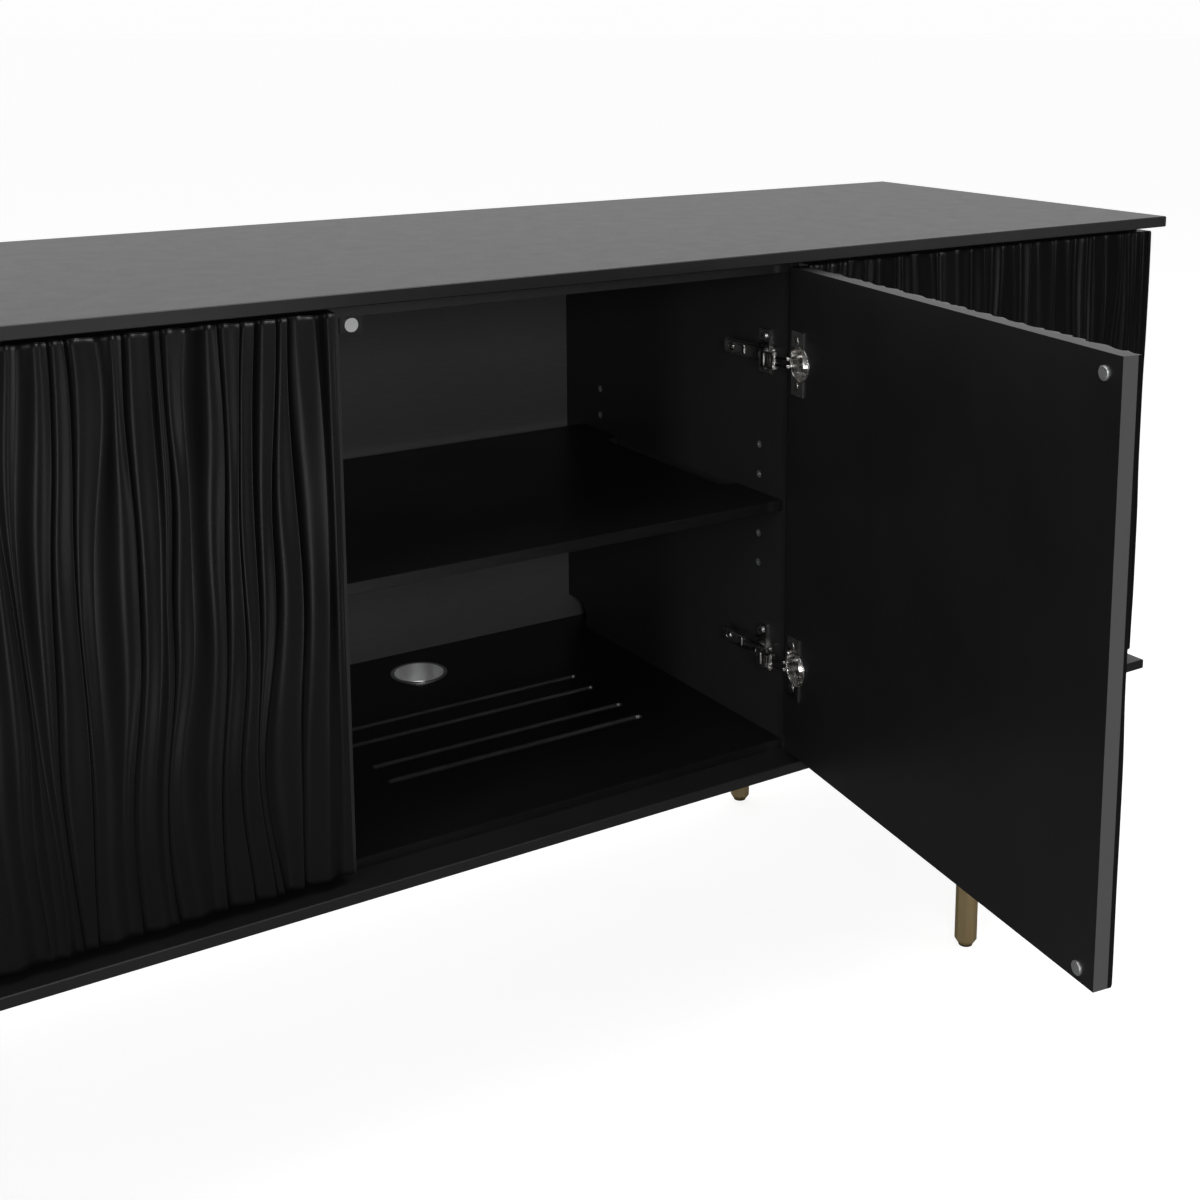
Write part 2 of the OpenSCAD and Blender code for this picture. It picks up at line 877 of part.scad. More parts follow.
top_plate();
base_plate();
side_panel_left();
side_panel_right();
divider_left();
divider_centre();
divider_right();
sub_top_1();
sub_top_2();
sub_top_3();
sub_top_4();
floor_panel_1();
floor_panel_2();
floor_panel_3();
floor_panel_4();
back_panel();
back_screws();
shelf_1();
shelf_2();
shelf_3();
shelf_4();
shelf_sockets();
shelf_pins();
cable_liners();
leg_front_left();
leg_front_right();
leg_rear_left();
leg_rear_right();
leg_plates();
leg_screws();
leg_glides();
latch_housings();
plunger_1();
plunger_2();
plunger_3();
plunger_4();
hinge_plates();
hinge_plate_screws();
hinge_arms();
door_board_1();
door_board_2();
door_board_3();
door_board_4();
door_face_1();
door_face_2();
door_face_3();
door_face_4();
strikes_1();
strikes_2();
strikes_3();
strikes_4();
hinge_cups_1();
hinge_cups_2();
hinge_cups_3();
hinge_cups_4();
hinge_links_1();
hinge_links_2();
hinge_links_3();
hinge_links_4();
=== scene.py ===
"""A low four-bay media cabinet with carved black door fronts, the third door standing open, on brass legs.
All lengths are in metres, in the frame that the CAD pack gives."""
import json
import math

import bpy
import numpy as np
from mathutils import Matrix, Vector


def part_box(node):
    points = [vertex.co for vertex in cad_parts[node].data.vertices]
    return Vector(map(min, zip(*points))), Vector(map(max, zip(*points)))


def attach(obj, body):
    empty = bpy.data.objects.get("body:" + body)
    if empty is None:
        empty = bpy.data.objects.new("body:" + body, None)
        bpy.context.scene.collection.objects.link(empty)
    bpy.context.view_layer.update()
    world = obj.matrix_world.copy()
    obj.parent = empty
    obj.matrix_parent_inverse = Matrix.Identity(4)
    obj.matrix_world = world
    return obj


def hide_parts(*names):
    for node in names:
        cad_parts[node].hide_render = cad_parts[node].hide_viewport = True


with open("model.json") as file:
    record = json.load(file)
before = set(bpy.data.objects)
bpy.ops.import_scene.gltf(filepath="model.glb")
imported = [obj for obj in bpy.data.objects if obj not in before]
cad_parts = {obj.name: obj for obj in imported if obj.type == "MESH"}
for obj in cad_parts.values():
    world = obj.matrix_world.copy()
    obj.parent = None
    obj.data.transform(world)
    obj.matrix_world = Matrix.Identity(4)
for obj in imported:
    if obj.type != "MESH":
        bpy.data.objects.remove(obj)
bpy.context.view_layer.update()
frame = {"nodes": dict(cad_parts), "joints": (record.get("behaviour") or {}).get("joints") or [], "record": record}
nodes = frame["nodes"]
scene = bpy.context.scene

# Door 3 is modelled standing open: its hinge runs from OPEN back to closed
HINGE_3 = next(j for j in frame["joints"] if j["name"] == "door_3_hinge")
OPEN = math.radians(-HINGE_3["range_deg"][0])

# ---------------------------------------------------------------- camera

TURN, DIP = math.radians(33.21), math.radians(10.07)
cam_data = bpy.data.cameras.new("camera")
cam_data.sensor_width = 36
cam_data.lens = 51.39
cam_data.shift_x = -0.05
cam_data.shift_y = -0.235
cam_data.clip_end = 400
camera = bpy.data.objects.new("camera", cam_data)
camera.location = (-0.547, -1.323, 1.063)
camera.rotation_euler = (math.pi / 2 - DIP, 0, -TURN)
scene.collection.objects.link(camera)
scene.camera = camera

# ---------------------------------------------------------------- materials

NOISE_LOW, NOISE_HIGH = 0.3, 0.7  # where nearly all of a noise's values lie


class Graph:
    """A material's node tree, with short calls for the nodes used here."""

    def __init__(self, name):
        self.mat = bpy.data.materials.new(name)
        self.mat.use_nodes = True
        self.tree = self.mat.node_tree
        self.tree.nodes.clear()
        self.bsdf = self.node("BsdfPrincipled")
        self.link(self.bsdf.outputs[0], self.node("OutputMaterial").inputs[0])
        coord = self.node("TexCoord").outputs
        self.coord, self.normal = coord["Object"], coord["Normal"]

    def node(self, kind):
        return self.tree.nodes.new("ShaderNode" + kind)

    def link(self, a, b):
        self.tree.links.new(a, b)

    def put(self, socket, value):
        """Links a socket to another node's output, or sets it to a number or colour."""
        if isinstance(value, bpy.types.NodeSocket):
            self.link(value, socket)
        else:
            socket.default_value = value

    def scaled(self, x, y, z):
        m = self.node("Mapping")
        m.inputs["Scale"].default_value = (x, y, z)
        self.link(self.coord, m.inputs["Vector"])
        return m.outputs[0]

    def noise(self, vector, scale, detail=3, rough=0.5):
        n = self.node("TexNoise")
        n.inputs["Scale"].default_value = scale
        n.inputs["Detail"].default_value = detail
        n.inputs["Roughness"].default_value = rough
        self.link(vector, n.inputs["Vector"])
        return n.outputs["Fac"]

    def remap(self, value, low, high):
        """Stretches a noise to run from low to high."""
        r = self.node("MapRange")
        for key, number in (("From Min", NOISE_LOW), ("From Max", NOISE_HIGH),
                            ("To Min", low), ("To Max", high)):
            r.inputs[key].default_value = number
        self.link(value, r.inputs["Value"])
        return r.outputs[0]

    def mix(self, fac, a, b, blend="MIX"):
        m = self.node("Mix")
        m.data_type = "RGBA"
        m.blend_type = blend
        for key, value in (("Factor", fac), ("A", a), ("B", b)):
            self.put(m.inputs[key], (*value, 1) if isinstance(value, tuple) else value)
        return m.outputs["Result"]

    def maths(self, op, a, b=0.0):
        m = self.node("Math")
        m.operation = op
        self.put(m.inputs[0], a)
        self.put(m.inputs[1], b)
        return m.outputs[0]

    def finish(self, colour, rough, height, depth):
        """Colour and roughness for the whole surface, and a bump of the given depth from height."""
        self.put(self.bsdf.inputs["Base Color"], colour)
        self.put(self.bsdf.inputs["Roughness"], rough)
        n = self.node("Bump")
        n.inputs["Distance"].default_value = depth
        n.inputs["Strength"].default_value = 1.0
        self.link(height, n.inputs["Height"])
        self.link(n.outputs[0], self.bsdf.inputs["Normal"])
        return self.mat


ORANGE_PEEL, PORE, BRUSHING = 0.00002, 0.00004, 0.000008  # bump depths
# Painted light: the pale grey that a board's cut edges are mixed towards, standing in for the light that falls on
# the door edges
PAINTED_EDGE_LIGHT = (0.11, 0.11, 0.112)


def lacquer(name, dark, light, rough, specular=0.5, across=None):
    """Sprayed satin black: a faint orange peel, slow changes of sheen and a little cloudiness. A board's
    cut edges, the faces that point along the direction across, are painted paler, as painted light on them."""
    g = Graph(name)
    cloud = g.noise(g.scaled(1, 1, 1), 9, 3)
    fine = g.noise(g.scaled(1, 1, 1), 420, 2)
    rub = g.noise(g.scaled(1, 1, 0.25), 38, 4, 0.6)
    colour = g.mix(g.remap(cloud, 0, 1), dark, light)
    if across:
        dot = g.node("VectorMath")
        dot.operation = "DOT_PRODUCT"
        dot.inputs[1].default_value = across
        g.link(g.normal, dot.inputs[0])
        # Painted light: faces that point along across are mixed towards the pale edge grey
        colour = g.mix(g.maths("ABSOLUTE", dot.outputs["Value"]), colour, PAINTED_EDGE_LIGHT)
    g.bsdf.inputs["Specular IOR Level"].default_value = specular
    sheen = g.maths("ADD", g.remap(rub, rough - 0.018, rough + 0.018), g.remap(fine, -0.015, 0.015))
    return g.finish(colour, sheen, fine, ORANGE_PEEL)


def laminate(name, dark, light, rough, stretch=(900, 900, 40)):
    """Black laminate with fine pores, short across and longer along its least stretched direction."""
    g = Graph(name)
    pores = g.noise(g.scaled(*stretch), 1, 3, 0.6)
    cloud = g.noise(g.scaled(1, 1, 1), 7, 2)
    sheen = g.maths("ADD", g.remap(cloud, rough - 0.03, rough + 0.03), g.remap(pores, -0.03, 0.03))
    return g.finish(g.mix(g.remap(pores, 0, 1), dark, light), sheen, pores, PORE)


def metal(name, dark, light, rough, scale, spread, stretch=(1, 1, 1)):
    """Plated or brushed metal, with fine lines along the direction that isn't stretched."""
    g = Graph(name)
    lines = g.noise(g.scaled(*stretch), scale, 3, 0.65)
    tone = g.noise(g.scaled(1, 1, 1), 45, 3)
    g.bsdf.inputs["Metallic"].default_value = 1
    return g.finish(g.mix(g.remap(tone, 0, 1), dark, light), g.remap(lines, rough - spread, rough + spread),
                    lines, BRUSHING)


def moulded(name, dark, light, rough, grain=0.00005):
    """Moulded plastic or rubber with a spark-eroded grain."""
    g = Graph(name)
    fine = g.noise(g.scaled(1, 1, 1), 1500, 2)
    slow = g.noise(g.scaled(1, 1, 1), 60, 3)
    return g.finish(g.mix(g.remap(slow, 0, 1), dark, light), g.remap(fine, rough - 0.06, rough + 0.06),
                    fine, grain)


ALONG_X = (40, 900, 900)
front_black = lacquer("satin_black_front", (0.0026, 0.0026, 0.0028), (0.0042, 0.0042, 0.0045), 0.30, 0.28)
plate_black = lacquer("satin_black_plate", (0.010, 0.010, 0.0105), (0.014, 0.014, 0.0145), 0.37)
BOARD = ((0.009, 0.009, 0.0095), (0.012, 0.012, 0.0125), 0.40)
# The door boards' cut edges carry the painted edge light: across x for the closed doors, turned with door 3 for
# the open one
door_inner = lacquer("satin_black_inner", *BOARD, across=(-1, 0, 0))
door_inner_open = lacquer("satin_black_inner_open", *BOARD, across=(-math.cos(OPEN), -math.sin(OPEN), 0))
case_black = laminate("case_laminate", (0.016, 0.016, 0.0165), (0.022, 0.022, 0.0225), 0.42)
floor_black = laminate("floor_laminate", (0.0045, 0.0045, 0.005), (0.008, 0.008, 0.0085), 0.34, ALONG_X)
# A paler board than the case. Part of its paleness is painted light, standing in for the light that reaches the
# back of the open bay
back_black = laminate("back_board", (0.075, 0.075, 0.0755), (0.095, 0.095, 0.0955), 0.5, ALONG_X)
brass = metal("satin_brass", (0.95, 0.71, 0.36), (0.99, 0.78, 0.43), 0.42, 900, 0.07, (1, 1, 0.03))
nickel = metal("bright_nickel", (0.58, 0.57, 0.555), (0.74, 0.73, 0.715), 0.16, 260, 0.05)
steel = metal("satin_steel", (0.78, 0.785, 0.79), (0.88, 0.885, 0.89), 0.43, 900, 0.08)
zinc = metal("zinc_screw", (0.42, 0.43, 0.45), (0.60, 0.61, 0.63), 0.3, 500, 0.08)
black_steel = metal("black_steel", (0.03, 0.03, 0.031), (0.05, 0.05, 0.051), 0.45, 600, 0.08)
liner_metal = metal("liner_satin", (0.86, 0.865, 0.87), (0.92, 0.925, 0.93), 0.42, 900, 0.06, (1, 1, 0.05))
groove = metal("groove_satin", (0.085, 0.085, 0.087), (0.12, 0.12, 0.122), 0.42, 800, 0.06)
# Painted shade: dark crosses on the screw heads stand in for the shade inside their cross recesses
painted_recess_shade = metal("screw_recess_painted_shade", (0.05, 0.05, 0.052), (0.09, 0.09, 0.092), 0.5, 900, 0.08)
plastic = moulded("latch_plastic", (0.008, 0.008, 0.008), (0.013, 0.013, 0.013), 0.42)
rubber = moulded("glide_rubber", (0.010, 0.010, 0.010), (0.018, 0.018, 0.018), 0.75, 0.0001)

# The finish of each material slot, and of the nodes that differ from the rest of their slot
FINISH = {
    "satin_black_panel": plate_black,
    "interior_black": case_black,
    "back_board": back_black,
    "screws": zinc,
    "socket_metal": steel,
    "cable_liner": liner_metal,
    "brass_leg": brass,
    "leg_plate_steel": black_steel,
    "glide_pad": rubber,
    "latch_plastic": plastic,
    "nickel": nickel,
    "door_inner": door_inner,
    "door_front": front_black,
}
SPECIAL = {"door_board_3": door_inner_open, "floor_panel": floor_black, "plunger": steel, "strikes": steel,
           **{f"shelf_{k}": floor_black for k in (1, 2, 3, 4)}}

slot_of = {p["node"]: p["material_slot"] for p in frame["record"]["subparts"]}
for name, obj in nodes.items():
    special = next((m for start, m in SPECIAL.items() if name.startswith(start)), None)
    obj.data.materials.clear()
    obj.data.materials.append(special or FINISH[slot_of[name]])

# ---------------------------------------------------------------- carved door fronts

FOLDS = 26
STEP = (0.45, 1.6)               # narrowest and widest step between crests, as shares of the width
SWAY, SWAY_LONG = 0.015, 0.8     # how far crests bend together, and the wave's length up the door
OWN, OWN_LONG = 0.011, 0.62      # the same for each crest by itself
EDGE_CALM = 0.04                 # crests run straighter this close to the door's edges
LEAST_GAP, GAP_SOFT = 0.0045, 0.005
CREST_LOW = 0.0023               # how far a faded crest lies behind a full one
DEEPEST, DEEP_BASE, DEEP_SHARE = 0.0054, 0.0006, 0.21
BOWL, BOWL_POWER = 0.93, 1.7
SKIN = 0.00005                   # kept between the deepest and highest points and the layer's faces


def smooth(t):
    """3 t t - 2 t t t between 0 and 1, and level outside."""
    t = np.clip(t, 0, 1)
    return t * t * (3 - 2 * t)


def slow_waves(rng, z, count, longest):
    """Smooth curves of z for several lines at once, each in about -1 to 1: a sum of three sine waves of
    falling length and height, with their own phases."""
    out = np.zeros((count, len(z)))
    for octave, gain in ((1, 1.0), (2.1, 0.42), (3.7, 0.1)):
        phase = rng.uniform(0, 2 * math.pi, (count, 1))
        length = longest / octave * rng.uniform(0.75, 1.35, (count, 1))
        out += gain * np.sin(2 * math.pi * z[None, :] / length + phase)
    return out / 1.4


def relief_grid(width, high, depth, seed):
    """x, z and depth behind the front, of folds that run up the door, part and come together."""
    rng = np.random.default_rng(seed)
    near = np.array([0, 0.0005, 0.0012, 0.0024])
    z = np.concatenate([near, np.linspace(0.005, high - 0.005, 168), (high - near)[::-1]])
    # Crest lines: uneven steps across the door, each line bending a little as its neighbours do
    step = rng.uniform(*STEP, FOLDS)
    crest = np.concatenate([[0], np.cumsum(step)]) / step.sum() * width
    sway = slow_waves(rng, z, FOLDS + 1, SWAY_LONG)
    for _ in range(2):
        sway[1:-1] = 0.3 * sway[:-2] + 0.4 * sway[1:-1] + 0.3 * sway[2:]
    own = slow_waves(rng, z, FOLDS + 1, OWN_LONG) * rng.uniform(0.2, 1.0, (FOLDS + 1, 1))
    inside = np.minimum(1, np.minimum(crest, width - crest) / EDGE_CALM)[:, None]
    line = crest[:, None] + inside * (SWAY * sway + OWN * own)
    # Lines may come close but never cross: a gap below the least one is eased up to it
    gap = np.diff(line, axis=0)
    gap = LEAST_GAP + GAP_SOFT * np.log1p(np.exp(np.clip((gap - LEAST_GAP) / GAP_SOFT, -20, 20)))
    wide = gap / gap.sum(0) * width
    crest = np.vstack([np.zeros(len(z)), np.cumsum(wide, 0)])
    # How high each crest stands, fading in and out down the door
    rise = 0.5 + 0.5 * slow_waves(rng, z, FOLDS + 1, 0.42)
    rise = 0.2 + 0.8 * smooth(rise)
    # Which side of a fold is the steep one
    lean = np.where(rng.uniform(0, 1, (FOLDS, 1)) < 0.5, -1, 1) * rng.uniform(0.35, 0.7, (FOLDS, 1))
    lean = lean + 0.18 * slow_waves(rng, z, FOLDS, 0.6)
    # Across each fold t runs 0 to 1, closer together near the crests. The bowl is a power of
    # sin(pi g), where g = t ** exp(lean) moves its lowest line to one side
    t = (0.5 - 0.5 * np.cos(math.pi * np.linspace(0, 1, 17)[:-1]))[None, :, None]
    bowl = np.sin(math.pi * t ** np.exp(lean)[:, None])
    deep = np.minimum(DEEPEST, DEEP_BASE + DEEP_SHARE * wide)[:, None]
    low = (1 - rise) * CREST_LOW
    x = (crest[:-1, None] + t * wide[:, None]).reshape(-1, len(z))
    d = low[:-1, None] * (1 - smooth(t)) + low[1:, None] * smooth(t) + deep * BOWL * bowl ** BOWL_POWER
    x, d = np.vstack([x, crest[-1:]]), np.vstack([d.reshape(-1, len(z)), low[-1:]])
    # Round the crests a little, as sanded paintwork is
    for _ in range(5):
        d[1:-1] = 0.25 * d[:-2] + 0.5 * d[1:-1] + 0.25 * d[2:]
    # Soften the four edges of the front
    edge_x = np.minimum(x, width - x)
    edge_z = np.minimum(z, high - z)[None, :]
    soft = 0.0011 * (1 - smooth(edge_x / 0.003)) + 0.0008 * (1 - smooth(edge_z / 0.0022))
    return x, z, np.clip(d + soft + SKIN, SKIN, depth - 8 * SKIN)


def at_rest(k, points, swings=True):
    """Points made for a closed right-hand door, put where door k's are at rest: mirrored in x for the
    left half, and turned about the hinge's axis for door 3, which stands open."""
    x, y, z = points.T
    if k <= 2:
        x = -x
    if k == 3 and swings:
        ax, ay = HINGE_3["pos_m"][:2]
        c, s = math.cos(OPEN), math.sin(OPEN)
        x, y = ax + c * (x - ax) - s * (y - ay), ay + s * (x - ax) + c * (y - ay)
    return np.stack([x, y, z], -1)


def add_piece(name, points, faces, smooth_faces, mat, body):
    """Puts points, and faces that point outwards, into a mesh: a piece that rides on a body."""
    mesh = bpy.data.meshes.new(name)
    mesh.from_pydata(points.tolist(), [], faces)
    mesh.polygons.foreach_set("use_smooth", smooth_faces)
    mesh.materials.append(mat)
    mesh.update()
    obj = bpy.data.objects.new(name, mesh)
    scene.collection.objects.link(obj)
    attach(obj, body)
    return obj


door2_lo, door2_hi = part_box("door_face_2")
door4_lo, door4_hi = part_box("door_face_4")


def relief_piece(k, seed):
    """The carved front of door k: the depth grid in front, the four sides, and one flat face behind."""
    width, high, depth = (b - a for a, b in zip((door2_lo[0], door2_lo[2], door2_lo[1]),
                                                (door2_hi[0], door2_hi[2], door2_hi[1])))
    left = {1: -door4_hi[0], 2: door2_lo[0], 3: -door2_hi[0], 4: door4_lo[0]}[k]
    front = door2_lo[1]
    x, z, d = relief_grid(width, high, depth, seed)
    across, up = x.shape
    face = np.stack([x + left, d + front, np.broadcast_to(z + door2_lo[2], x.shape)], -1).reshape(-1, 3)
    i, j = np.meshgrid(np.arange(across - 1), np.arange(up - 1), indexing="ij")
    a = (i * up + j).ravel()
    # Once round the front's edge, anticlockwise; the same points moved behind it bound the flat back
    foot, side = np.arange(across) * up, np.arange(up)
    loop = np.concatenate([foot[:-1], side[:-1] + foot[-1], foot[:0:-1] + up - 1, side[:0:-1]])
    back = face[loop]
    back[:, 1] = front + depth
    behind = len(face) + np.arange(len(loop))
    walls = np.stack([loop, behind, np.roll(behind, -1), np.roll(loop, -1)], -1)
    faces = np.stack([a, a + up, a + up + 1, a + 1], -1).tolist() + walls.tolist() + [behind[::-1].tolist()]
    points = np.concatenate([face, back])
    if k == 3:
        points = at_rest(3, points)
    obj = add_piece(f"door_relief_{k}", points, faces, np.arange(len(faces)) < len(a), front_black,
                    f"door_{k}")
    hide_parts(f"door_face_{k}")


for k, seed in ((1, 11), (2, 22), (3, 33), (4, 44)):
    relief_piece(k, seed)

# ---------------------------------------------------------------- small fittings

case_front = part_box("top_plate")[0][1]
inner_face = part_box("door_board_2")[1][1]
floor_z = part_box("floor_panel_2")[1][2]
side_x, divider_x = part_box("side_panel_right")[0][0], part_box("divider_right")[0][0]
PITCH = door4_lo[0] + door2_hi[0]                              # from one bay to the next
EDGE = {1: door4_hi[0], 2: -door2_lo[0], 3: -door2_lo[0], 4: door4_hi[0]}  # a door's hinged edge
MOUNT = {1: side_x, 2: divider_x, 3: divider_x, 4: side_x}     # the panel that its hinges are fixed on
LEVELS = (door2_lo[2] + 0.095, door2_hi[2] - 0.095)            # heights of a door's two hinges
PLATE_Y = case_front + 0.072                                   # screws of the hinge plates


class Shell:
    """Closed surfaces gathered into one mesh. Each is a grid of points: rows go along a path, and each
    row goes once round a profile, anticlockwise as seen from the path's far end."""

    def __init__(self):
        self.points, self.faces, self.smooth, self.count = [], [], [], 0

    def grid(self, p, caps=(True, True), wraps=False):
        """Adds quads between the rows, and one flat face over the first and last row, or joins the last
        row to the first."""
        rows, n = p.shape[:2]
        i, j = np.meshgrid(np.arange(rows if wraps else rows - 1), np.arange(n), indexing="ij")
        far, turn = (i + 1) % rows * n, (j + 1) % n
        quads = np.stack([i * n + j, i * n + turn, far + turn, far + j], -1).reshape(-1, 4)
        self.faces += (quads + self.count).tolist()
        self.smooth += [True] * len(quads)
        if not wraps:
            ends = [np.arange(n)[::-1], (rows - 1) * n + np.arange(n)]
            self.faces += [(row + self.count).tolist() for row, keep in zip(ends, caps) if keep]
            self.smooth += [False] * sum(caps)
        self.points.append(p.reshape(-1, 3))
        self.count += rows * n

    def finish(self, name, mat, body, slot, k=4, swings=False):
        """Makes the piece, for door k's side of the cabinet, or on door k itself if it swings."""
        points = at_rest(k, np.concatenate(self.points), swings)
        faces = [f[::-1] for f in self.faces] if k <= 2 else self.faces
        add_piece(name, points, faces, self.smooth, mat, body)


def placed(p, centre, axis, twist=0.0):
    """Points drawn round z, turned about it and stood on an axis at a centre."""
    c, s = math.cos(twist), math.sin(twist)
    p = p @ np.array([[c, s, 0], [-s, c, 0], [0, 0, 1]])
    turn = np.array(Vector((0, 0, 1)).rotation_difference(Vector(axis)).to_matrix())
    return p @ turn.T + np.array(centre)


def rounded_box(lo, hi, r, steps=4):
    """A rounded rectangle in x and y carried up z. Its corner arcs have radius r sin(u) while z moves in
    by r (1 - cos(u)) at each end, so every edge and corner of the box is rounded with radius r."""
    lo, hi = np.array(lo), np.array(hi)
    mid, half = (lo + hi) / 2, (hi - lo) / 2 - r
    u = np.linspace(0.12, math.pi / 2, steps + 1)
    arc = r * np.concatenate([np.sin(u), np.sin(u)[::-1]])
    z = np.concatenate([-half[2] - r * np.cos(u), (half[2] + r * np.cos(u))[::-1]])
    corner = np.repeat(np.arange(4), steps + 1)
    angle = corner * math.pi / 2 + np.tile(np.linspace(0, math.pi / 2, steps + 1), 4)
    out_x = np.where((corner == 0) | (corner == 3), 1, -1)
    out_y = np.where(corner < 2, 1, -1)
    x = out_x * half[0] + arc[:, None] * np.cos(angle)
    y = out_y * half[1] + arc[:, None] * np.sin(angle)
    return np.stack([x, y, np.broadcast_to(z[:, None], x.shape)], -1) + mid


def turned_disc(centre, axis, radius, long, r=0.0004, sides=28):
    """A short bar turned round an axis: its profile is a straight side with a quarter circle of radius r
    at each rim, swept once round."""
    u = np.linspace(0, math.pi / 2, 4)
    reach = radius - r + r * np.concatenate([np.sin(u), np.cos(u)])
    along = np.concatenate([r - r * np.cos(u) - long / 2, long / 2 - r + r * np.sin(u)])
    a = np.linspace(0, 2 * math.pi, sides, endpoint=False)
    p = np.stack([reach[:, None] * np.cos(a), reach[:, None] * np.sin(a),
                  np.broadcast_to(along[:, None], (8, sides))], -1)
    return placed(p, centre, axis)


def torus(centre, axis, radius, tube, sides=44, around=10):
    """A circle of radius tube carried round a circle of the given radius."""
    b = np.linspace(0, 2 * math.pi, around, endpoint=False)[:, None]
    a = np.linspace(0, 2 * math.pi, sides, endpoint=False)[None, :]
    reach = radius + tube * np.cos(b)
    p = np.stack([reach * np.cos(a), reach * np.sin(a),
                  np.broadcast_to(tube * np.sin(b), (around, sides))], -1)
    return placed(p, centre, axis)


def cross(centre, axis, reach=0.0014, wide=0.0006, proud=0.00012):
    """A cross-shaped outline, three corners repeated by quarter turns, carried through a screw's face and
    a fifth smaller at its inner end."""
    h = wide / 2
    arm = np.array([reach - 1j * h, reach + 1j * h, h + 1j * h])
    outline = (arm[None, :] * 1j ** np.arange(4)[:, None]).ravel()
    p = np.stack([np.stack([outline.real * s, outline.imag * s, np.full(12, z)], -1)
                  for s, z in ((0.8, -proud), (1.0, proud))])
    return placed(p, centre, axis, 0.6)


def block(x0, x1, y0, y1, h, half, r):
    """A rounded box from x0 to x1 and from y0 to y1 behind the hinge plate's screws, centred on height h."""
    return rounded_box((x0, PLATE_Y + y0, h - half), (x1, PLATE_Y + y1, h + half), r)


COVER_TOP, COVER_LOW, COVER_END, TAPER = 0.0153, 0.0117, 0.0525, 0.22
LINK_PIN = 0.0315                      # from a door's edge to the pin of its hinge links
ADJUSTERS = ((-0.012, 0.0027), (0.040, 0.0029))   # place behind the plate's screws, radius

# Arm covers, elbows and their screws: on the cabinet
for k in (1, 2, 3, 4):
    x, pin = MOUNT[k], EDGE[k] - LINK_PIN
    top = x - COVER_TOP
    shell, marks = Shell(), Shell()
    for h in LEVELS:
        # Pressed cover over the arm, narrower at its rear end
        cover = block(top, x - COVER_LOW, -0.027, COVER_END, h, 0.0079, 0.0011)
        far = np.maximum(0, (cover[..., 1] - PLATE_Y) / COVER_END)
        cover[..., 2] = h + (cover[..., 2] - h) * (1 - TAPER * far)
        shell.grid(cover)
        # Elbow: a rounded lobe on the pin, and a bridge from it to the arm
        shell.grid(block(pin - 0.0043, pin + 0.0034, -0.0326, -0.0245, h, 0.0089, 0.0022))
        shell.grid(block(pin + 0.0037, x - 0.0116, -0.0322, -0.0247, h, 0.0086, 0.0018))
        # A raised band between the two adjusting screws, and the clip at the rear
        shell.grid(block(top - 0.0010, x - 0.0148, 0.016, 0.029, h, 0.0046, 0.0006))
        shell.grid(block(x - 0.0126, x - 0.0062, 0.048, 0.0515, h, 0.0055, 0.0012))
        for y, head in ADJUSTERS:
            shell.grid(torus((top, PLATE_Y + y, h), (1, 0, 0), head + 0.0009, 0.0006), wraps=True)
            shell.grid(turned_disc((top, PLATE_Y + y, h), (1, 0, 0), head, 0.0016))
            # A dark cross on each adjusting screw: painted shade of its recess
            marks.grid(cross((x - 0.01612, PLATE_Y + y, h), (-1, 0, 0)))
        # Dark crosses on the plate's screws: painted shade of their recesses
        for dz in (-0.016, 0.016):
            marks.grid(cross((x - 0.0045, PLATE_Y, h + dz), (-1, 0, 0), 0.0022, 0.0009))
    shell.finish(f"hinge_covers_{k}", nickel, "cabinet", "nickel", k)
    marks.finish(f"hinge_recess_shades_{k}", painted_recess_shade, "cabinet", "nickel", k)

CUP_IN, FLANGE_IN, SCREW_UP = 0.0225, 0.0155, 0.0225  # from the door's edge, and a screw's from the cup
FLANGE_TOP = inner_face + 0.0014

# Cup rims, flange screws and the damper across the bottom of each cup: on each door
for k in (1, 2, 3, 4):
    cup, flange = EDGE[k] - CUP_IN, EDGE[k] - FLANGE_IN
    rims, marks = Shell(), Shell()
    for h in LEVELS:
        rims.grid(torus((cup, FLANGE_TOP, h), (0, 1, 0), 0.01745, 0.0006), wraps=True)
        for dz in (-SCREW_UP, SCREW_UP):
            rims.grid(torus((flange, FLANGE_TOP, h + dz), (0, 1, 0), 0.0041, 0.0005, 28, 8), wraps=True)
            # Dark crosses on the flange screws: painted shade of their recesses
            marks.grid(cross((flange, FLANGE_TOP + 0.0005, h + dz), (0, 1, 0), 0.0019, 0.0008))
        rims.grid(rounded_box((EDGE[k] - 0.0255, inner_face - 0.0112, h + 0.0064),
                              (EDGE[k] - 0.0115, inner_face - 0.0065, h + 0.0105), 0.0012))
    rims.finish(f"cup_rims_{k}", nickel, f"door_{k}", "nickel", k, True)
    marks.finish(f"flange_recess_shades_{k}", painted_recess_shade, f"door_{k}", "nickel", k, True)

# Dark crosses on the back panel's screws: painted shade of their recesses
HEAD = 0.00375
marks = Shell()
screws_lo, screws_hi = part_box("back_screws")
for x in (-PITCH, 0, PITCH):
    for z in (screws_lo[2] + HEAD, (screws_lo[2] + screws_hi[2]) / 2, screws_hi[2] - HEAD):
        marks.grid(cross((x, screws_hi[1], z), (0, 1, 0), 0.0021, 0.0009))
marks.finish("back_screw_recess_shades", painted_recess_shade, "cabinet", "screws")

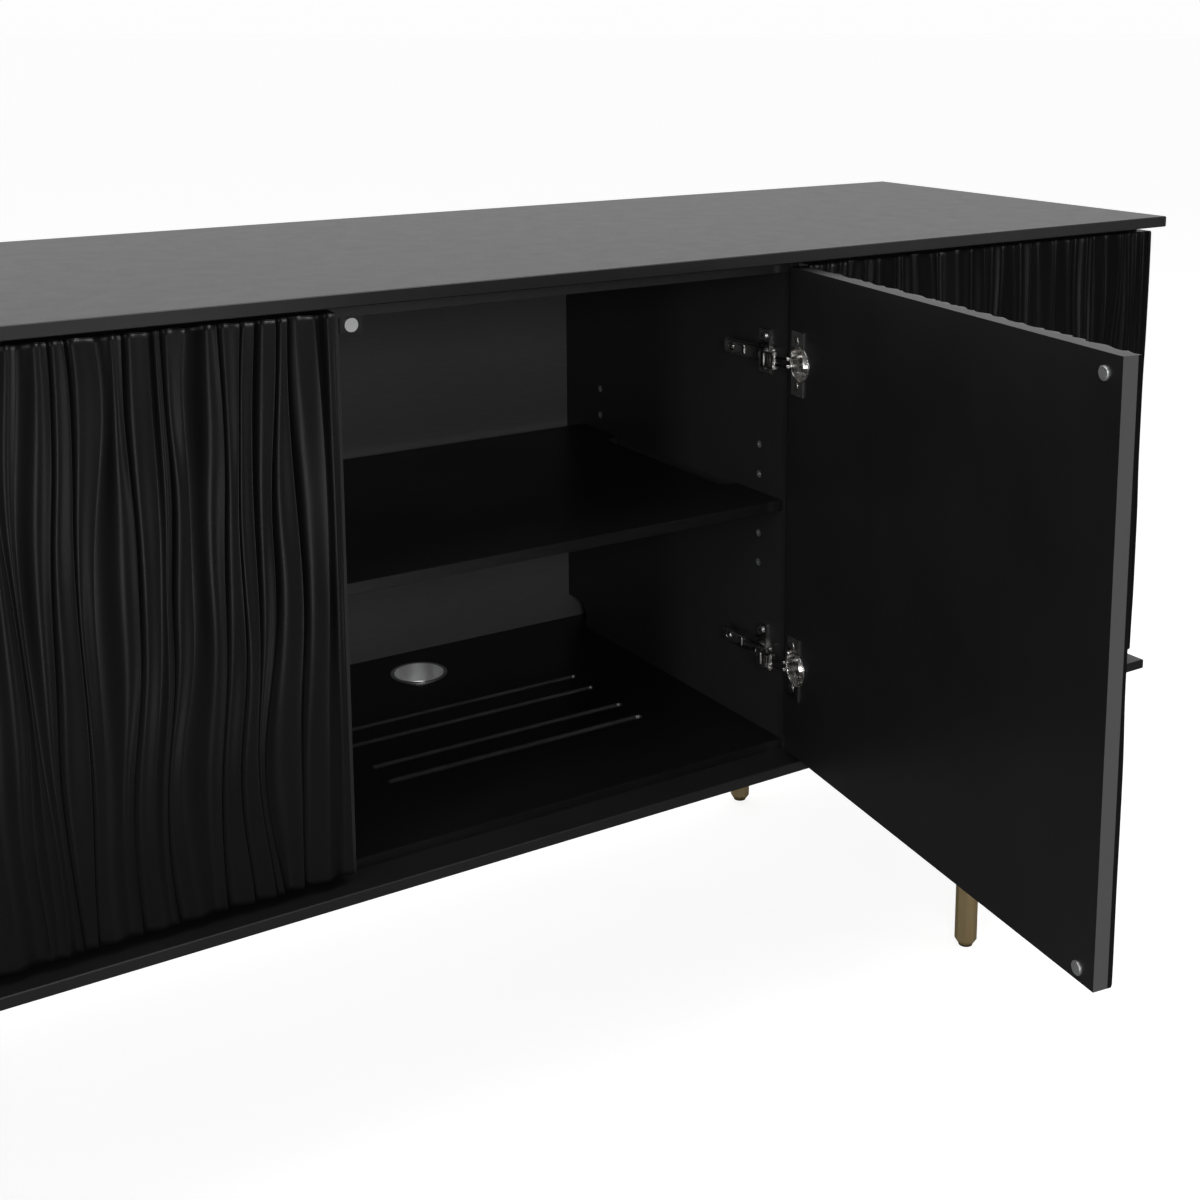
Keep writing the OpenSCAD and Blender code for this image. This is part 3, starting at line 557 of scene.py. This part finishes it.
# Lined grooves in the vent slots of the floor panels: a long outline with round ends, drawn in as f falls
# while its depth follows a quarter circle, sqrt(1 - f f)
VENT_HALF, VENT_RADIUS, VENT_DEEP = 0.1445, 0.00545, 0.0052
VENT_ROWS = (0.169, 0.208, 0.267, 0.306)   # behind the case's front
grooves = Shell()
f = np.array([1.0, 0.93, 0.8, 0.62, 0.42, 0.2, 0.03])[:, None]
reach = VENT_RADIUS * f
depth = np.broadcast_to(floor_z - 0.0004 - VENT_DEEP * np.sqrt(1 - f * f), (7, 32))
end = np.repeat([1, -1], 16)
a = np.tile(np.linspace(0, math.pi, 16), 2) - math.pi / 2 * end
for cx in (np.arange(4) - 1.5) * PITCH:
    for y in VENT_ROWS:
        grooves.grid(np.stack([cx + VENT_HALF * end + reach * np.cos(a), case_front + y + reach * np.sin(a),
                               depth], -1), caps=(False, True))
grooves.finish("vent_grooves", groove, "cabinet", "leg_plate_steel")

# ---------------------------------------------------------------- softened edges on the metalwork and boards

ROUND = {"hinge_arms": 0.0006, "hinge_plates": 0.0004, "hinge_cups": 0.0003, "hinge_links": 0.0003,
         "latch_housings": 0.0006, "strikes": 0.0003, "plunger": 0.0003, "leg_plates": 0.0004,
         **{f"shelf_{k}": 0.0005 for k in (1, 2, 3, 4)}}
for name, obj in nodes.items():
    width = next((w for start, w in ROUND.items() if name.startswith(start)), None)
    if width is None:
        continue
    weld = obj.modifiers.new("weld", "WELD")
    weld.merge_threshold = 0.00001
    bevel = obj.modifiers.new("bevel", "BEVEL")
    bevel.width = width
    bevel.segments = 2
    bevel.limit_method = "ANGLE"
    bevel.angle_limit = math.radians(40)

# ---------------------------------------------------------------- floor, light and background

FLOOR_RADIUS = 90
a = np.linspace(0, 2 * math.pi, 65)[:-1]
rim = FLOOR_RADIUS * np.stack([np.cos(a), np.sin(a), 0 * a], -1)
floor_mesh = bpy.data.meshes.new("floor")
floor_mesh.from_pydata(rim.tolist(), [], [list(range(64))])
floor_obj = bpy.data.objects.new("floor", floor_mesh)
scene.collection.objects.link(floor_obj)

# The floor is seen near white, and darker in what the black pieces reflect
g = Graph("floor_pale")
cloud = g.noise(g.scaled(1, 1, 1), 2, 2)
seen = g.node("LightPath").outputs["Is Camera Ray"]
tint = g.mix(seen, (0.2, 0.2, 0.2), (0.42, 0.42, 0.42))
for key, value in (("Roughness", 0.9), ("Specular IOR Level", 0.1), ("Emission Color", (1, 1, 1, 1)),
                   ("Emission Strength", g.maths("MULTIPLY", seen, 0.84)),
                   ("Base Color", g.mix(0.05, tint, cloud, "MULTIPLY"))):
    g.put(g.bsdf.inputs[key], value)
floor_mesh.materials.append(g.mat)

# The background is seen near white, and gives light that grows from the front towards the rear
world = bpy.data.worlds.new("studio")
scene.world = world
world.use_nodes = True
tree = world.node_tree
tree.nodes.clear()
out, mix, path, seen, light, coord, dot, ramp = (
    tree.nodes.new("ShaderNode" + kind)
    for kind in ("OutputWorld", "MixShader", "LightPath", "Background", "Background", "TexCoord",
                 "VectorMath", "MapRange"))
seen.inputs["Color"].default_value = (0.985, 0.985, 0.985, 1)
light.inputs["Color"].default_value = (1, 1, 1, 1)
dot.operation = "DOT_PRODUCT"
dot.inputs[1].default_value = (0.35, 0.93, 0.12)
ramp.interpolation_type = "SMOOTHSTEP"
for key, value in (("From Min", -0.1), ("From Max", 0.85), ("To Min", 0.06), ("To Max", 0.74)):
    ramp.inputs[key].default_value = value
for source, target in ((coord.outputs["Generated"], dot.inputs[0]),
                       (dot.outputs["Value"], ramp.inputs["Value"]),
                       (ramp.outputs[0], light.inputs["Strength"]),
                       (path.outputs["Is Camera Ray"], mix.inputs["Fac"]),
                       (light.outputs[0], mix.inputs[1]),
                       (seen.outputs[0], mix.inputs[2]),
                       (mix.outputs[0], out.inputs[0])):
    tree.links.new(source, target)


def area(name, place, aim, size, power):
    """A rectangular lamp at a place, turned to face a point, and not seen itself."""
    data = bpy.data.lights.new(name, "AREA")
    data.shape = "RECTANGLE"
    data.size, data.size_y = size
    data.energy = power
    obj = bpy.data.objects.new(name, data)
    obj.location = place
    v = np.array(aim, float) - np.array(place, float)
    obj.rotation_euler = (math.acos(-v[2] / np.linalg.norm(v)), 0, math.atan2(v[1], v[0]) - math.pi / 2)
    obj.visible_camera = False
    scene.collection.objects.link(obj)


area("key_overhead", (0.3, -0.2, 4.0), (0.2, 0, 0), (4.0, 3.0), 95)
area("fill_left", (-3.2, -1.5, 1.5), (-0.5, 0, 0.6), (0.45, 2.0), 30)
area("fill_right", (2.9, -2.5, 1.3), (0.2, -0.4, 0.6), (0.35, 1.6), 9)
area("fold_right", (0.22, -1.50, 0.27), (-0.5, -0.48, 0.6), (0.3, 0.5), 1.7)
area("fold_left", (-1.22, -1.50, 0.27), (-0.5, -0.48, 0.6), (0.3, 0.5), 1.1)
area("inside", (-0.6, -2.0, 1.25), (0.3, 0.4, 0.5), (0.4, 0.4), 11)

scene.view_settings.view_transform = "Standard"
scene.view_settings.look = "None"
